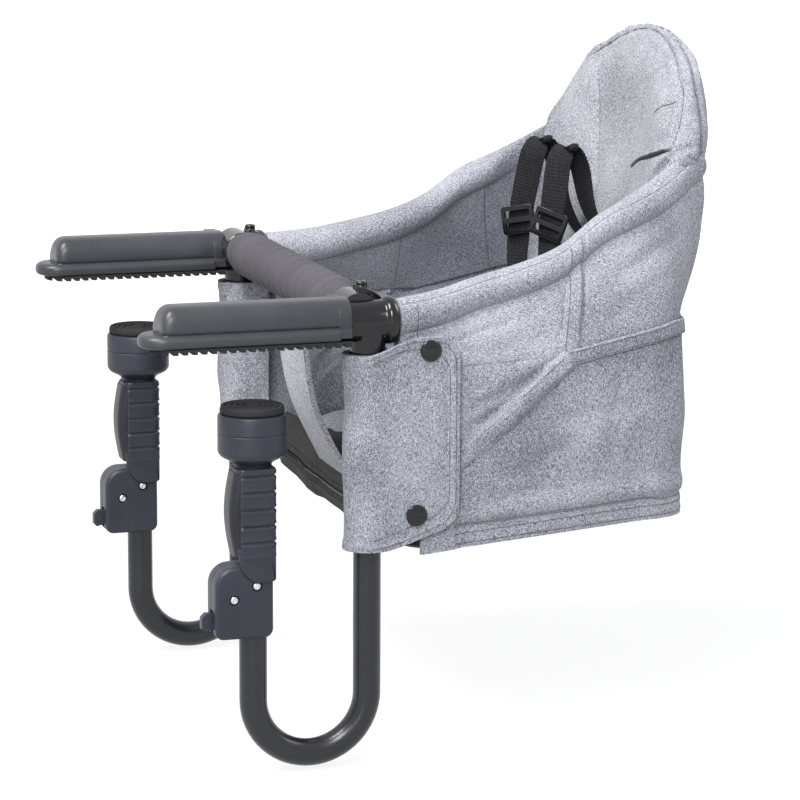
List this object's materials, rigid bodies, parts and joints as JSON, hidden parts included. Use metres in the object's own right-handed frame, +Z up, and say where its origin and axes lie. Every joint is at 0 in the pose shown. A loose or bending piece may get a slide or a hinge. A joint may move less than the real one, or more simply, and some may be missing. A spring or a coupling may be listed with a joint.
{
  "type": "hook-on table chair",
  "caption": "Hook-on child seat for a table: padded arms, foam crossbar, swivelling J legs with sprung-lever clamps, and a fabric bucket seat whose back folds forward.",
  "frame": {"origin": "on the table top, at the table's edge, midway between the arms", "axes": "+Z up, +Y from the table towards the seat's back, +X to the sitter's left"},
  "size_m": [0.3762, 0.4404, 0.49],
  "materials": {
    "fabric_grey": "heathered woven polyester over thin padding",
    "lining": "plain dark lining cloth",
    "tube_paint": "satin powder coat",
    "moulding": "fine matt texture",
    "gloss_moulding": "smooth",
    "pad_plastic": "satin",
    "rubber": "matt",
    "foam": "skinned closed-cell foam",
    "zinc_steel": "bright zinc plate",
    "webbing": "ribbed flat webbing"
  },
  "bodies": {
    "frame": {"seat_cushion": "fabric_grey", "crotch_panel": "fabric_grey", "seat_skirt": "fabric_grey", "leg_flap_left": "fabric_grey", "leg_flap_right": "fabric_grey", "seat_wing_left": "fabric_grey", "seat_wing_right": "fabric_grey", "stow_pouch": "lining", "crossbar_tube": "tube_paint", "arm_tube_left": "tube_paint", "arm_tube_right": "tube_paint", "seat_pan": "moulding", "harness_buckle": "gloss_moulding", "corner_connector_left": "gloss_moulding", "corner_connector_right": "gloss_moulding", "snap_upper_left": "gloss_moulding", "snap_upper_right": "gloss_moulding", "snap_lower_left": "gloss_moulding", "snap_lower_right": "gloss_moulding", "arm_pad_left": "pad_plastic", "arm_pad_right": "pad_plastic", "pad_sole_left": "rubber", "pad_sole_right": "rubber", "foam_sleeve": "foam", "back_pin_left": "zinc_steel", "back_pin_right": "zinc_steel", "crotch_strap": "webbing", "waist_strap_left": "webbing", "waist_strap_right": "webbing"},
    "leg_left": {"leg_tube_left": "tube_paint", "clamp_housing_outer_left": "moulding", "clamp_housing_inner_left": "moulding", "guide_screw_left": "zinc_steel", "pivot_screw_left": "zinc_steel", "lever_spring_left": "zinc_steel"},
    "lever_left": {"release_lever_left": "moulding"},
    "clamp_left": {"clamp_plunger_left": "tube_paint", "clamp_grip_left": "moulding", "clamp_foot_left": "moulding", "foot_pad_left": "rubber"},
    "button_left": {"lock_button_left": "gloss_moulding"},
    "leg_right": {"leg_tube_right": "tube_paint", "clamp_housing_outer_right": "moulding", "clamp_housing_inner_right": "moulding", "guide_screw_right": "zinc_steel", "pivot_screw_right": "zinc_steel", "lever_spring_right": "zinc_steel"},
    "lever_right": {"release_lever_right": "moulding"},
    "clamp_right": {"clamp_plunger_right": "tube_paint", "clamp_grip_right": "moulding", "clamp_foot_right": "moulding", "foot_pad_right": "rubber"},
    "button_right": {"lock_button_right": "gloss_moulding"},
    "back": {"back_hoop": "tube_paint", "back_pad": "fabric_grey", "shoulder_strap_left": "webbing", "shoulder_strap_right": "webbing", "strap_slider_left": "gloss_moulding", "strap_slider_right": "gloss_moulding"}
  },
  "joints": [
    {"name": "leg_swivel_left", "type": "hinge", "parent": "frame", "child": "leg_left", "pos_m": [0.165, 0.018, -0.02], "axis": [0, 0, -1], "range_deg": [0, 90]},
    {"name": "clamp_slide_left", "type": "slide", "parent": "leg_left", "child": "clamp_left", "axis": [0, 0, 1], "range_m": [-0.005, 0.02]},
    {"name": "release_lever_left", "type": "hinge", "parent": "leg_left", "child": "lever_left", "pos_m": [0.165, -0.0788, -0.1707], "axis": [1, 0, 0], "range_deg": [0, 7], "stiffness_Nm_per_rad": 0.2},
    {"name": "lock_button_left", "type": "slide", "parent": "frame", "child": "button_left", "axis": [0, 0, -1], "range_m": [0, 0.003], "stiffness_N_per_m": 300},
    {"name": "leg_swivel_right", "type": "hinge", "parent": "frame", "child": "leg_right", "pos_m": [-0.165, 0.018, -0.02], "axis": [0, 0, 1], "range_deg": [0, 90]},
    {"name": "clamp_slide_right", "type": "slide", "parent": "leg_right", "child": "clamp_right", "axis": [0, 0, 1], "range_m": [-0.005, 0.02]},
    {"name": "release_lever_right", "type": "hinge", "parent": "leg_right", "child": "lever_right", "pos_m": [-0.165, -0.0788, -0.1707], "axis": [1, 0, 0], "range_deg": [0, 7], "stiffness_Nm_per_rad": 0.2},
    {"name": "lock_button_right", "type": "slide", "parent": "frame", "child": "button_right", "axis": [0, 0, -1], "range_m": [0, 0.003], "stiffness_N_per_m": 300},
    {"name": "back_fold", "type": "hinge", "parent": "frame", "child": "back", "pos_m": [0, 0.247, -0.004], "axis": [1, 0, 0], "range_deg": [0, 82], "deforming": ["shoulder_strap_left", "shoulder_strap_right"]}
  ]
}
